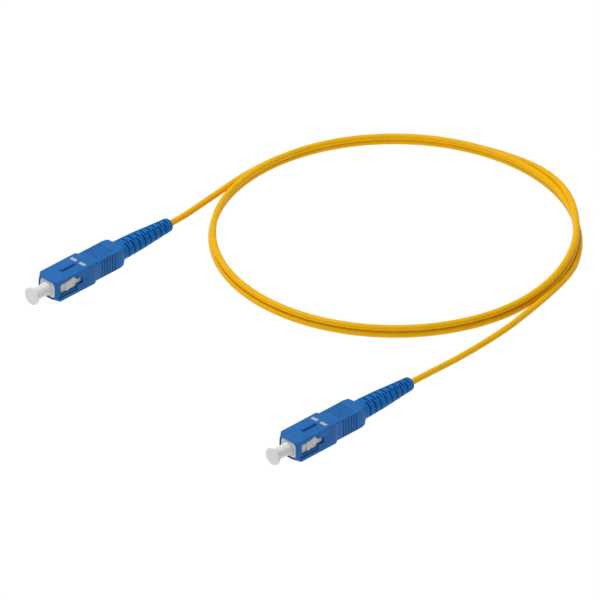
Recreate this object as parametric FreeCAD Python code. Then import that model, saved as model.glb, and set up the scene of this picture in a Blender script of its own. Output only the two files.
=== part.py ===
"""Fiber optic patch cord: a yellow simplex cable, coiled, with a push-pull plug on each end.

Millimetres, +Z up, the part lying on a table at z = 0. Both plugs point along -X and the cable
leaves them along +X. The origin is on the table, under the middle of the box of the two plugs.
Inside a plug, x is measured back from the front of its housing, y and z from the ferrule's axis.
"""
import FreeCAD, Part
import math
import os
from FreeCAD import Vector

# Where the two plugs lie.
PLUG_SPACING = 116.65       # between the two plugs' axes
PLUG_STAGGER = 12.6         # how much further forward plug b lies than plug a
RUN_FIT = 0.10              # play on each side of a sliding piece
BOND_GAP = 0.05             # play round a piece that sits in another

# Outer housing, the part that the fingers pull.
HOUSING_WIDTH = 8.99
HOUSING_HEIGHT = 7.39
HOUSING_LENGTH = 30.0
GRIP_START = 16.3           # where the housing steps down to the grip
GRIP_STEP_LENGTH = 1.2
GRIP_INSET = 0.42
NOSE_CHAMFER_LENGTH = 1.5
NOSE_SIDE_CHAMFER = 0.9
NOSE_TOP_CHAMFER = 0.6
TAIL_CHAMFER = 0.5
HOUSING_SIDE_WALL = 1.1
HOUSING_TOP_WALL = 0.8
HOUSING_TRAVEL = 2.0        # how far the housing pulls back to let go of an adapter

# Key bar and the two white dashes behind it.
KEY_START = 5.8
KEY_LENGTH = 5.8
KEY_WIDTH = 1.4
KEY_HEIGHT = 0.7
MARK_START = 12.8
MARK_LENGTH = 1.15
MARK_WIDTH = 2.45
MARK_GAP = 1.3
MARK_DEPTH = 0.10
MARK_PROUD = 0.02

# Grip grooves.
GROOVE_START = 19.7
GROOVE_PITCH = 1.13
GROOVE_COUNT = 6
GROOVE_WIDTH = 0.40
GROOVE_SIDE_DEPTH = 0.33
GROOVE_TOP_DEPTH = 0.20
GROOVE_HALF_LENGTH = 3.0

# Side channel and window, one each side.
CHANNEL_LENGTH = 8.8
CHANNEL_DEPTH = 0.45
CHANNEL_BOTTOM = -2.35
CHANNEL_TOP = 2.95
WINDOW_START = 2.0
WINDOW_LENGTH = 6.8
WINDOW_BOTTOM = -1.55
WINDOW_TOP_FRONT = 1.9
WINDOW_TOP_REAR = 2.55
WINDOW_RISE_START = 3.9
WINDOW_RISE_END = 5.1
WINDOW_CORNER = 0.6
NOTCH_LENGTH = 2.3
NOTCH_BOTTOM = -0.75
NOTCH_TOP = 1.4

# Plug frame, the white body that holds the ferrule.
FRAME_SETBACK = 0.15        # its nose, behind the housing's
FRAME_LENGTH = 22.35
FRAME_NOSE_CHAMFER = 0.35
CAP_RECESS_FIT = 0.35       # between the cap's barrel and the recess it stands in
CAP_RECESS_DEPTH = 4.4
FRAME_WALL = 3.5            # the wall that the ferrule's flange rests on
SPRING_CHAMBER_RADIUS = 2.1
RIB_ROOM = 0.6              # from the rib to the window's edge when the housing is pulled back
RIB_LENGTH = 1.3
RIB_HEIGHT = 0.42
PAD_HEIGHT = 0.36           # the raised field behind the rib
RIB_EDGE = 0.15             # between the rib or pad and the window's edge above and below

# Ferrule, its flange and its spring.
FERRULE_RADIUS = 1.25
FERRULE_LENGTH = 12.1
FERRULE_REACH = 1.6         # how far the tip stands out of the housing
FERRULE_CHAMFER = 0.3
FERRULE_TRAVEL = 1.0
FIBRE_RADIUS = 0.0625
FLANGE_LENGTH = 3.95
FLANGE_NECK_FIT = 0.3       # between the flange's neck and the spring round it
FLANGE_NECK_LENGTH = 4.0
SPRING_WIRE_RADIUS = 0.2
SPRING_SIDE_ROOM = 0.3      # between the spring and the wall of its chamber
SPRING_TURNS = 6
SPRING_LENGTH = 6.2

# Rear body, guide tube, crimp.
REAR_BODY_COLLAR_WALL = 0.4  # how far the collar stands out over the chamber
REAR_BODY_COLLAR_LENGTH = 1.0
REAR_BODY_BARREL_RADIUS = 1.5
REAR_BODY_BARREL_LENGTH = 5.0
REAR_BODY_BORE_RADIUS = 0.75
GUIDE_TUBE_WALL = 0.2
BUFFER_RADIUS = 0.45
YARN_THICKNESS = 0.25
CRIMP_WALL = 0.4
CRIMP_REAR_WALL = 0.35
CRIMP_REAR_LENGTH = 4.0

# Cable and its boot.
CABLE_RADIUS = 1.0
CABLE_BORE_RADIUS = 0.55
BOOT_FRONT = 24.0
BOOT_LENGTH = 22.4          # from the back of the housing to the tip
BOOT_WALL_FIT = 0.05
BOOT_SIDE_FIT = 0.12        # between the boot's base and the housing, at the sides
BOOT_TOP_FIT = 0.25         # the same above and below
BOOT_CORNER = 1.6
# Each further section: share of its length, half width, half height, corner radius.
BOOT_SECTIONS = [
    (0.39, 3.15, 2.60, 1.70),
    (0.70, 2.60, 2.40, 1.95),
    (0.95, 2.25, 2.20, 2.10),
    (1.00, 1.95, 1.92, 1.85),
]
SLOT_COUNT = 8
SLOT_START = 1.9            # first slot, behind the housing
SLOT_PITCH = 2.42
SLOT_WIDTH = 0.55
SLOT_CORE_WALL = 0.5        # left round the cable's bore at the bottom of a slot

# Dust cap.
CAP_REACH = 6.7             # in front of the housing
CAP_DEPTH = 3.0             # behind the housing's front
CAP_HEAD_RADIUS = 2.95
CAP_NECK_RADIUS = 1.9
CAP_WALL = 0.72             # of the barrel round the ferrule
CAP_HEAD_THICKNESS = 0.7
CAP_FLARE_LENGTH = 1.2
CAP_BORE_FIT = 0.03
CAP_SKIRT_FIT = 0.07        # between the cap's skirt and the recess round it
CAP_SKIRT_SLOPE = 0.3
CAP_TIP_ROOM = 0.8

# The coil: two strands one on the other, three where the ends cross over.
COIL_X = 82.5
COIL_Y = 7.1
COIL_RADIUS = 55.9
STRAND_DRIFT = 0.3          # how far a strand wanders in or out from the coil's middle
STRAND_SINK = 0.05          # how much less than a diameter one strand stands over the next
CROSSING_FROM = -100.0      # degrees round the coil where three strands are stacked
CROSSING_TO = 25.0
ENTRY_FROM = -10.0           # degrees where end a lies outside the coil
ENTRY_TO = 97.0
EXIT_FROM = -80.0           # degrees where end b lies outside the coil
EXIT_TO = -50.0

axis_height = HOUSING_HEIGHT / 2
bore_half_width = HOUSING_WIDTH / 2 - HOUSING_SIDE_WALL
bore_half_height = HOUSING_HEIGHT / 2 - HOUSING_TOP_WALL
frame_half_width = bore_half_width - RUN_FIT
frame_half_height = bore_half_height - RUN_FIT
boot_tip = HOUSING_LENGTH + BOOT_LENGTH
plug_middle = (boot_tip - CAP_REACH) / 2
front_a = PLUG_STAGGER / 2 - plug_middle
front_b = -PLUG_STAGGER / 2 - plug_middle
side_a = PLUG_SPACING / 2
side_b = -PLUG_SPACING / 2

cap_barrel_radius = FERRULE_RADIUS + CAP_BORE_FIT + CAP_WALL
cap_recess_radius = cap_barrel_radius + CAP_RECESS_FIT
rib_start = WINDOW_START + HOUSING_TRAVEL + RIB_ROOM
frame_rear = FRAME_SETBACK + FRAME_LENGTH
flange_front = FRAME_SETBACK + CAP_RECESS_DEPTH + FRAME_WALL + BOND_GAP
ferrule_rear = FERRULE_LENGTH - FERRULE_REACH
flange_rear = flange_front + FLANGE_LENGTH
spring_rear = flange_rear + SPRING_LENGTH
spring_mean_radius = SPRING_CHAMBER_RADIUS - SPRING_SIDE_ROOM - SPRING_WIRE_RADIUS
neck_radius = spring_mean_radius - SPRING_WIRE_RADIUS - FLANGE_NECK_FIT
collar_radius = SPRING_CHAMBER_RADIUS + REAR_BODY_COLLAR_WALL
barrel_front = frame_rear + REAR_BODY_COLLAR_LENGTH
barrel_rear = barrel_front + REAR_BODY_BARREL_LENGTH
buffer_bore_radius = REAR_BODY_BORE_RADIUS - GUIDE_TUBE_WALL
yarn_radius = REAR_BODY_BARREL_RADIUS + YARN_THICKNESS
crimp_radius = yarn_radius + CRIMP_WALL
crimp_rear_radius = CABLE_RADIUS + CRIMP_REAR_WALL
crimp_rear = barrel_rear + CRIMP_REAR_LENGTH
slot_core = CABLE_RADIUS + BOOT_WALL_FIT + SLOT_CORE_WALL
coil_half_width = CABLE_RADIUS + STRAND_DRIFT
outer_strand_offset = coil_half_width + CABLE_RADIUS
strand_step = 2 * CABLE_RADIUS - STRAND_SINK


def block(x0, x1, half_width, half_height):
    """A box along the axis, centred on it."""
    return Part.makeBox(x1 - x0, 2 * half_width, 2 * half_height,
                        Vector(x0, -half_width, -half_height))


def rod(x0, x1, radius):
    """A round bar along the axis."""
    return Part.makeCylinder(radius, x1 - x0, Vector(x0, 0, 0), Vector(1, 0, 0))


def turned(outline):
    """A solid turned round the axis from an outline of (x, radius) points."""
    points = [Vector(x, r, 0) for x, r in outline]
    face = Part.Face(Part.makePolygon(points + points[:1]))
    return face.revolve(Vector(0, 0, 0), Vector(1, 0, 0), 360)


def both_sides(shape):
    """The shape and its mirror image across the plug's upright middle plane."""
    return [shape, shape.mirror(Vector(0, 0, 0), Vector(0, 1, 0))]


def housing_outline(half, nose_chamfer):
    """One half of the housing's outline, (x, distance from the axis), front to back."""
    grip = half - GRIP_INSET
    return [
        (0, half - nose_chamfer),
        (NOSE_CHAMFER_LENGTH, half),
        (GRIP_START, half),
        (GRIP_START + GRIP_STEP_LENGTH, grip),
        (HOUSING_LENGTH - TAIL_CHAMFER, grip),
        (HOUSING_LENGTH, grip - TAIL_CHAMFER),
    ]


def outline_slab(half, nose_chamfer, other_half, upright):
    """The outline made into a slab, as seen from above or, upright, from the side."""
    upper = housing_outline(half, nose_chamfer)
    lower = [(x, -d) for x, d in reversed(upper)]
    loop = upper + lower
    if upright:
        points = [Vector(x, -other_half, d) for x, d in loop]
        along = Vector(0, 2 * other_half, 0)
    else:
        points = [Vector(x, d, -other_half) for x, d in loop]
        along = Vector(0, 0, 2 * other_half)
    return Part.Face(Part.makePolygon(points + points[:1])).extrude(along)


def side_window():
    """What is cut from the housing's right side: the channel, the window and its notch."""
    half = HOUSING_WIDTH / 2
    channel = Part.makeBox(CHANNEL_LENGTH, CHANNEL_DEPTH + 1, CHANNEL_TOP - CHANNEL_BOTTOM,
                           Vector(0, -half - 1, CHANNEL_BOTTOM))
    window_end = WINDOW_START + WINDOW_LENGTH
    notch_end = window_end + NOTCH_LENGTH
    outline = [
        (WINDOW_START, WINDOW_BOTTOM),
        (window_end, WINDOW_BOTTOM),
        (window_end, NOTCH_BOTTOM),
        (notch_end, NOTCH_BOTTOM),
        (notch_end, NOTCH_TOP),
        (window_end, NOTCH_TOP),
        (window_end - WINDOW_CORNER, WINDOW_TOP_REAR),
        (WINDOW_RISE_END, WINDOW_TOP_REAR),
        (WINDOW_RISE_START, WINDOW_TOP_FRONT),
        (WINDOW_START, WINDOW_TOP_FRONT),
    ]
    points = [Vector(x, -half - 1, z) for x, z in outline]
    face = Part.Face(Part.makePolygon(points + points[:1]))
    return [channel, face.extrude(Vector(0, half, 0))]


def grip_grooves():
    """The grooves across the top and bottom and down both sides of the grip."""
    half_width = HOUSING_WIDTH / 2 - GRIP_INSET
    half_height = HOUSING_HEIGHT / 2 - GRIP_INSET
    cuts = []
    for i in range(GROOVE_COUNT):
        x = GROOVE_START + i * GROOVE_PITCH
        for sign in (-1, 1):
            floor = half_height - GROOVE_TOP_DEPTH
            low = min(sign * floor, sign * (floor + 1))
            cuts.append(Part.makeBox(GROOVE_WIDTH, 2 * GROOVE_HALF_LENGTH, 1,
                                     Vector(x, -GROOVE_HALF_LENGTH, low)))
            floor = half_width - GROOVE_SIDE_DEPTH
            low = min(sign * floor, sign * (floor + 1))
            cuts.append(Part.makeBox(GROOVE_WIDTH, 1, 2 * half_height,
                                     Vector(x, low, -half_height)))
    return cuts


def mark_boxes(depth_below, height_above):
    """The two dashes on top, from a depth below the housing's face to a height above it."""
    top = HOUSING_HEIGHT / 2
    boxes = []
    for y in (MARK_GAP / 2, -MARK_GAP / 2 - MARK_WIDTH):
        boxes.append(Part.makeBox(MARK_LENGTH, MARK_WIDTH, depth_below + height_above,
                                  Vector(MARK_START, y, top - depth_below)))
    return boxes


def outer_housing():
    half_width = HOUSING_WIDTH / 2
    half_height = HOUSING_HEIGHT / 2
    body = outline_slab(half_width, NOSE_SIDE_CHAMFER, half_height, False)
    body = body.common(outline_slab(half_height, NOSE_TOP_CHAMFER, half_width, True))
    key = Part.makeBox(KEY_LENGTH, KEY_WIDTH, KEY_HEIGHT + 1,
                       Vector(KEY_START, -KEY_WIDTH / 2, half_height - 1))
    body = body.fuse(key)
    cuts = [block(-1, HOUSING_LENGTH + 1, bore_half_width, bore_half_height)]
    for cut in side_window():
        cuts += both_sides(cut)
    cuts += grip_grooves()
    cuts += mark_boxes(MARK_DEPTH, 1)
    return body.cut(cuts)


def position_marks():
    return Part.makeCompound(mark_boxes(MARK_DEPTH, MARK_PROUD))


def plug_frame():
    front = FRAME_SETBACK
    body = block(front, frame_rear, frame_half_width, frame_half_height)
    nose_edges = [e for e in body.Edges if e.BoundBox.XMax < front + 0.01]
    body = body.makeChamfer(FRAME_NOSE_CHAMFER, nose_edges)
    window_end = WINDOW_START + WINDOW_LENGTH
    low, high = WINDOW_BOTTOM + RIB_EDGE, WINDOW_TOP_FRONT - RIB_EDGE
    notch_low, notch_high = NOTCH_BOTTOM + RIB_EDGE, NOTCH_TOP - RIB_EDGE
    rib_end = rib_start + RIB_LENGTH
    raised = []
    for height, x0, x1, z0, z1 in (
        (RIB_HEIGHT, rib_start, rib_end, low, high),
        (PAD_HEIGHT, rib_end, window_end - WINDOW_CORNER, low, high),
        (PAD_HEIGHT, rib_end, window_end + NOTCH_LENGTH - RUN_FIT, notch_low, notch_high),
    ):
        field = Part.makeBox(x1 - x0, height + 0.5, z1 - z0,
                             Vector(x0, -frame_half_width - height, z0))
        raised += both_sides(field)
    body = body.fuse(raised)
    wall_front = front + CAP_RECESS_DEPTH
    wall_rear = wall_front + FRAME_WALL
    cuts = [
        rod(front - 1, wall_front, cap_recess_radius),
        rod(wall_front - 1, wall_rear + 1, FERRULE_RADIUS + RUN_FIT),
        rod(wall_rear, frame_rear + 1, SPRING_CHAMBER_RADIUS),
    ]
    return body.cut(cuts)


def ferrule():
    tip = -FERRULE_REACH
    return turned([
        (tip, FIBRE_RADIUS),
        (tip, FERRULE_RADIUS - FERRULE_CHAMFER),
        (tip + FERRULE_CHAMFER, FERRULE_RADIUS),
        (ferrule_rear, FERRULE_RADIUS),
        (ferrule_rear, FIBRE_RADIUS),
    ])


def bare_fibre():
    return rod(-FERRULE_REACH, ferrule_rear, FIBRE_RADIUS)


def tight_buffer():
    return rod(ferrule_rear, boot_tip - 2 * FERRULE_TRAVEL, BUFFER_RADIUS)


def ferrule_flange():
    outer = SPRING_CHAMBER_RADIUS - RUN_FIT
    neck_rear = flange_rear + FLANGE_NECK_LENGTH
    return turned([
        (flange_front, FERRULE_RADIUS),
        (flange_front, outer),
        (flange_rear, outer),
        (flange_rear, neck_radius),
        (neck_rear, neck_radius),
        (neck_rear, BUFFER_RADIUS),
        (ferrule_rear, BUFFER_RADIUS),
        (ferrule_rear, FERRULE_RADIUS),
    ])


def ferrule_spring():
    room = SPRING_WIRE_RADIUS + 0.02
    height = SPRING_LENGTH - 2 * room
    helix = Part.makeHelix(height / SPRING_TURNS, height, spring_mean_radius)
    start = helix.Edges[0].valueAt(helix.Edges[0].FirstParameter)
    heading = helix.Edges[0].tangentAt(helix.Edges[0].FirstParameter)
    section = Part.Wire(Part.makeCircle(SPRING_WIRE_RADIUS, start, heading))
    wire = Part.Wire(helix.Edges).makePipeShell([section], True, True)
    wire.rotate(Vector(0, 0, 0), Vector(0, 1, 0), 90)
    wire.translate(Vector(flange_rear + room, 0, 0))
    return wire


def rear_body():
    return turned([
        (spring_rear, REAR_BODY_BORE_RADIUS),
        (spring_rear, SPRING_CHAMBER_RADIUS),
        (frame_rear, SPRING_CHAMBER_RADIUS),
        (frame_rear, collar_radius),
        (barrel_front, collar_radius),
        (barrel_front, REAR_BODY_BARREL_RADIUS),
        (barrel_rear, REAR_BODY_BARREL_RADIUS),
        (barrel_rear, REAR_BODY_BORE_RADIUS),
    ])


def guide_tube():
    tube = rod(spring_rear + BOND_GAP, barrel_rear, REAR_BODY_BORE_RADIUS - 0.01)
    return tube.cut(rod(spring_rear - 1, barrel_rear + 1, buffer_bore_radius))


def aramid_yarn():
    sleeve = rod(barrel_front + BOND_GAP, barrel_rear, yarn_radius)
    return sleeve.cut(rod(barrel_front - 1, barrel_rear + 1, REAR_BODY_BARREL_RADIUS))


def crimp_sleeve():
    return turned([
        (barrel_front + BOND_GAP, yarn_radius),
        (barrel_front + BOND_GAP, crimp_radius),
        (barrel_rear + CRIMP_WALL, crimp_radius),
        (barrel_rear + CRIMP_WALL, crimp_rear_radius),
        (crimp_rear, crimp_rear_radius),
        (crimp_rear, CABLE_RADIUS),
        (barrel_rear, CABLE_RADIUS),
        (barrel_rear, yarn_radius),
    ])


def cable_end():
    jacket = rod(barrel_rear + BOND_GAP, boot_tip, CABLE_RADIUS)
    return jacket.cut(rod(barrel_rear - 1, boot_tip + 1, CABLE_BORE_RADIUS))


def rounded_section(x, half_width, half_height, radius):
    """A rounded rectangle across the axis, as a wire of four lines and four arcs."""
    flat_y = half_width - radius
    flat_z = half_height - radius
    edges = []
    for quarter in range(4):
        y_sign = (1, -1, -1, 1)[quarter]
        z_sign = (1, 1, -1, -1)[quarter]
        turn = math.radians(90 * quarter)
        points = []
        for step in (0, 45, 90):
            angle = turn + math.radians(step)
            points.append(Vector(x, y_sign * flat_y + radius * math.cos(angle),
                                 z_sign * flat_z + radius * math.sin(angle)))
        edges.append(Part.Arc(*points).toShape())
    wires = []
    for i, arc in enumerate(edges):
        wires.append(arc)
        end = arc.valueAt(arc.LastParameter)
        begin = edges[(i + 1) % 4].valueAt(edges[(i + 1) % 4].FirstParameter)
        wires.append(Part.makeLine(end, begin))
    return Part.Wire(wires)


def strain_relief_boot():
    wires = []
    base_half_width = bore_half_width - BOOT_SIDE_FIT
    base_half_height = bore_half_height - BOOT_TOP_FIT
    for x in (BOOT_FRONT, HOUSING_LENGTH):
        wires.append(rounded_section(x, base_half_width, base_half_height, BOOT_CORNER))
    for share, half_width, half_height, radius in BOOT_SECTIONS:
        x = HOUSING_LENGTH + share * BOOT_LENGTH
        wires.append(rounded_section(x, half_width, half_height, radius))
    body = Part.makeLoft(wires, True, True)
    cuts = [
        rod(BOOT_FRONT - 1, barrel_rear + CRIMP_WALL + BOOT_WALL_FIT, crimp_radius + BOOT_WALL_FIT),
        rod(BOOT_FRONT - 1, crimp_rear + BOOT_WALL_FIT, crimp_rear_radius + BOOT_WALL_FIT),
        rod(BOOT_FRONT - 1, boot_tip + 1, CABLE_RADIUS + BOOT_WALL_FIT),
    ]
    wide = bore_half_width + 1
    for i in range(SLOT_COUNT):
        x = HOUSING_LENGTH + SLOT_START + i * SLOT_PITCH
        for sign in (-1, 1):
            low = min(sign * slot_core, sign * wide)
            cuts.append(Part.makeBox(SLOT_WIDTH, wide - slot_core, 2 * wide,
                                     Vector(x, low, -wide)))
            cuts.append(Part.makeBox(SLOT_WIDTH, 2 * wide, wide - slot_core,
                                     Vector(x + SLOT_PITCH / 2, -wide, low)))
    return body.cut(cuts)


def dust_cap():
    tip = -CAP_REACH
    bore = FERRULE_RADIUS + CAP_BORE_FIT
    blind_end = -FERRULE_REACH - CAP_TIP_ROOM
    flare = tip + CAP_HEAD_THICKNESS
    skirt = cap_recess_radius - CAP_SKIRT_FIT
    return turned([
        (tip, 0),
        (tip, CAP_HEAD_RADIUS - 0.1),
        (tip + 0.1, CAP_HEAD_RADIUS),
        (flare, CAP_HEAD_RADIUS - 0.1),
        (flare + CAP_FLARE_LENGTH / 4, (CAP_HEAD_RADIUS + CAP_NECK_RADIUS) / 2),
        (flare + CAP_FLARE_LENGTH, CAP_NECK_RADIUS),
        (-FERRULE_REACH, cap_barrel_radius),
        (FRAME_SETBACK - CAP_SKIRT_SLOPE, cap_barrel_radius),
        (FRAME_SETBACK, skirt),
        (CAP_DEPTH, skirt),
        (CAP_DEPTH, bore),
        (blind_end, bore),
        (blind_end, 0),
    ])


def coil_point(degrees, radius, z):
    angle = math.radians(degrees)
    return Vector(COIL_X + radius * math.cos(angle), COIL_Y + radius * math.sin(angle), z)


def ring_part(inner, outer, low, high, start, end):
    """A piece of a flat ring round the coil's middle, between two angles in degrees."""
    centre = Vector(COIL_X, COIL_Y, low)
    up = Vector(0, 0, 1)
    sweep = end - start
    ring = Part.makeCylinder(outer, high - low, centre, up, sweep)
    ring = ring.cut(Part.makeCylinder(inner, high - low, centre, up, sweep))
    ring.rotate(centre, up, start)
    return ring


def cord_coil():
    inner = COIL_RADIUS - coil_half_width
    outer = COIL_RADIUS + coil_half_width
    outermost = COIL_RADIUS + outer_strand_offset + CABLE_RADIUS
    two_high = 2 * CABLE_RADIUS + strand_step
    three_high = two_high + strand_step
    low_end = 2 * CABLE_RADIUS
    body = ring_part(inner, outer, 0, two_high, 0, 360)
    return body.fuse([
        ring_part(inner, outer, two_high, three_high, CROSSING_FROM, CROSSING_TO),
        ring_part(outer, outermost, 0, low_end, ENTRY_FROM, ENTRY_TO),
        ring_part(outer, outermost, 0, low_end, EXIT_FROM, EXIT_TO),
    ]).removeSplitter()


def cord_tube(name, route):
    """A round cord along straight runs joined by tangent arcs, as large as the runs allow."""
    pieces = []
    radii = []
    last = route[0]
    for before, corner, after in zip(route, route[1:], route[2:]):
        back = (before - corner).normalize()
        ahead = (after - corner).normalize()
        half_turn = (math.pi - back.getAngle(ahead)) / 2
        reach = 0.45 * min((before - corner).Length, (after - corner).Length)
        radius = reach / math.tan(half_turn)
        start = corner + back * reach
        end = corner + ahead * reach
        inward = (back + ahead).normalize()
        middle = corner + inward * (radius / math.cos(half_turn) - radius)
        pieces.append(Part.LineSegment(last, start).toShape())
        pieces.append(Part.Arc(start, middle, end).toShape())
        radii.append(round(radius, 1))
        last = end
    pieces.append(Part.LineSegment(last, route[-1]).toShape())
    path = Part.Wire(pieces)
    heading = (route[1] - route[0]).normalize()
    section = Part.Wire(Part.makeCircle(CABLE_RADIUS, route[0], heading))
    tube = path.makePipeShell([section], True, False)
    share = tube.Volume / (math.pi * CABLE_RADIUS ** 2 * path.Length)
    print(f"{name}: length {path.Length:.1f}, volume share {share:.4f}, radii {radii}")
    return tube


def route_a():
    """End a: out of its boot, down to the table and along the outside of the coil."""
    x = front_a + boot_tip
    z = axis_height
    end = coil_point(ENTRY_TO, COIL_RADIUS + outer_strand_offset, CABLE_RADIUS)
    angle = math.radians(ENTRY_TO)
    heading = Vector(math.sin(angle), -math.cos(angle), 0)
    return [
        Vector(x, side_a, z),
        Vector(x + 6.0, side_a, z),
        Vector(x + 13.0, side_a + 1.9, z - 0.9),
        Vector(x + 21.5, side_a + 4.1, z - 2.3),
        end - heading * 9.0,
        end,
    ]


def route_b():
    """End b: from the outside of the coil along the table and up into its boot."""
    x = front_b + boot_tip
    z = axis_height
    start = coil_point(EXIT_FROM, COIL_RADIUS + outer_strand_offset, CABLE_RADIUS)
    angle = math.radians(EXIT_FROM)
    heading = Vector(math.sin(angle), -math.cos(angle), 0)
    return [
        start,
        start + heading * 8.0,
        Vector(COIL_X - 8.6, COIL_Y - 60.7, CABLE_RADIUS),
        Vector(COIL_X - 20.5, COIL_Y - 62.0, CABLE_RADIUS),
        Vector(COIL_X - 32.5, COIL_Y - 62.7, CABLE_RADIUS),
        Vector(COIL_X - 43.5, COIL_Y - 63.8, CABLE_RADIUS + 1.0),
        Vector(x + 7.0, side_b, z),
        Vector(x, side_b, z),
    ]


PLUG_PIECES = {
    "dust_cap": dust_cap,
    "ferrule": ferrule,
    "bare_fibre": bare_fibre,
    "tight_buffer": tight_buffer,
    "ferrule_flange": ferrule_flange,
    "ferrule_spring": ferrule_spring,
    "plug_frame": plug_frame,
    "rear_body": rear_body,
    "guide_tube": guide_tube,
    "aramid_yarn": aramid_yarn,
    "crimp_sleeve": crimp_sleeve,
    "outer_housing": outer_housing,
    "position_marks": position_marks,
    "strain_relief_boot": strain_relief_boot,
    "cable_end": cable_end,
}


def main():
    os.makedirs("parts", exist_ok=True)
    nodes = {}
    for name, make in PLUG_PIECES.items():
        for suffix, x, y in (("a", front_a, side_a), ("b", front_b, side_b)):
            piece = make()
            piece.translate(Vector(x, y, axis_height))
            nodes[f"{name}_{suffix}"] = piece
    nodes["cord_coil"] = cord_coil()
    nodes["cord_tail_a"] = cord_tube("cord_tail_a", route_a())
    nodes["cord_tail_b"] = cord_tube("cord_tail_b", route_b())
    for name, shape in nodes.items():
        solids = shape.Solids
        if not solids or not all(s.isValid() for s in solids):
            print(f"{name}: not a valid solid")
        shape.exportStep(f"parts/{name}.step")
        box = shape.BoundBox
        print(f"{name}: {len(solids)} solid, {shape.Volume:.2f} mm3, x {box.XMin:.2f} {box.XMax:.2f},"
              f" y {box.YMin:.2f} {box.YMax:.2f}, z {box.ZMin:.2f} {box.ZMax:.2f}")


main()
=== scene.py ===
"""Looks of a fiber optic patch cord: plugs, boots, dust caps and the coiled cable, on a pale table.

Everything is in metres in the model's own frame. Inside a plug, x runs back from the front of its
housing and y and z run from the ferrule's axis, in millimetres, until a piece is put in its place.
"""
import math

import bmesh
import bpy
from bpy.props import FloatProperty, FloatVectorProperty, IntProperty, PointerProperty
from bpy.types import Operator, Panel, PropertyGroup
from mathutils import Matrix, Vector


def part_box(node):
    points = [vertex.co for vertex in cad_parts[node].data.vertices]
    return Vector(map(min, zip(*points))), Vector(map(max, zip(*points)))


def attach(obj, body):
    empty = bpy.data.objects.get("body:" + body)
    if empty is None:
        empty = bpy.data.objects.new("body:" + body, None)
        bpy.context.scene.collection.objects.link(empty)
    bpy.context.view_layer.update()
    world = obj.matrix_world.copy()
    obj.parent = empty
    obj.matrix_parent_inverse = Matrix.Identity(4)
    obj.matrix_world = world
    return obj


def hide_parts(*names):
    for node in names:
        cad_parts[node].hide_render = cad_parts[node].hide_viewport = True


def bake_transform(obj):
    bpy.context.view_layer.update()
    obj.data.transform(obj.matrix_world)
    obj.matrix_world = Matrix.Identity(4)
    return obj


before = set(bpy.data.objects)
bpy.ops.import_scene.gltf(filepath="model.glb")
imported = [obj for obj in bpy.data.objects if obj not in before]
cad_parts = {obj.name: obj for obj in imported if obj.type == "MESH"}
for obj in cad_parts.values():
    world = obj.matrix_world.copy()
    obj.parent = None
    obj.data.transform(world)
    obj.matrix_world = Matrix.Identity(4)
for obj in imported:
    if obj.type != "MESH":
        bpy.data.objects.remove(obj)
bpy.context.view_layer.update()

bl_info = {
    "name": "Fiber Patch Cord",
    "version": (1, 0, 0),
    "blender": (4, 5, 0),
    "location": "View3D > Sidebar > Patch Cord",
    "description": "Builds the plugs, boots, dust caps and coiled cable of a fiber optic patch cord",
    "category": "Add Mesh",
}

MM = 0.001
ENDS = ("a", "b")
SIDES = (-1, 1)

# The plug frame's corner radius, and how far the ribs stand out at its sides, in mm.
FRAME_CORNER = 1.35
RIB_HEIGHT = 0.42

# The plug's own measures that several pieces share, in mm, from the model's frame.
HOUSING_LOW, HOUSING_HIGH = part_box("outer_housing_a")
FRAME_LOW, FRAME_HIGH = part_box("plug_frame_a")
BOOT_LOW, BOOT_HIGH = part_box("strain_relief_boot_a")
CAP_LOW, CAP_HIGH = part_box("dust_cap_a")
CABLE_LOW, CABLE_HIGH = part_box("cable_end_a")
HOUSING_LENGTH = (HOUSING_HIGH.x - HOUSING_LOW.x) / MM
HOUSING_WIDTH = (HOUSING_HIGH.y - HOUSING_LOW.y) / MM
CABLE_RADIUS = (CABLE_HIGH.z - CABLE_LOW.z) / 2 / MM
AXIS_HEIGHT = (CABLE_HIGH.z + CABLE_LOW.z) / 2 / MM
HOUSING_HEIGHT = 2 * (AXIS_HEIGHT - HOUSING_LOW.z / MM)
FRAME_FRONT = (FRAME_LOW.x - HOUSING_LOW.x) / MM
FRAME_REAR = (FRAME_HIGH.x - HOUSING_LOW.x) / MM
FRAME_HALF_WIDTH = (FRAME_HIGH.y - FRAME_LOW.y) / 2 / MM - RIB_HEIGHT
FRAME_HALF_HEIGHT = (FRAME_HIGH.z - FRAME_LOW.z) / 2 / MM
BOOT_TIP = (BOOT_HIGH.x - HOUSING_LOW.x) / MM
BOOT_START = (BOOT_LOW.x - HOUSING_LOW.x) / MM
CAP_TIP = (CAP_LOW.x - HOUSING_LOW.x) / MM
CAP_MOUTH = (CAP_HIGH.x - HOUSING_LOW.x) / MM


def plug_origin(end):
    """Where a plug's own origin lies in the frame: the front of its housing, on the axis."""
    low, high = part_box(f"outer_housing_{end}")
    return Vector((low.x, (low.y + high.y) / 2, AXIS_HEIGHT * MM))


# ---------------------------------------------------------------- user values


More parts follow.
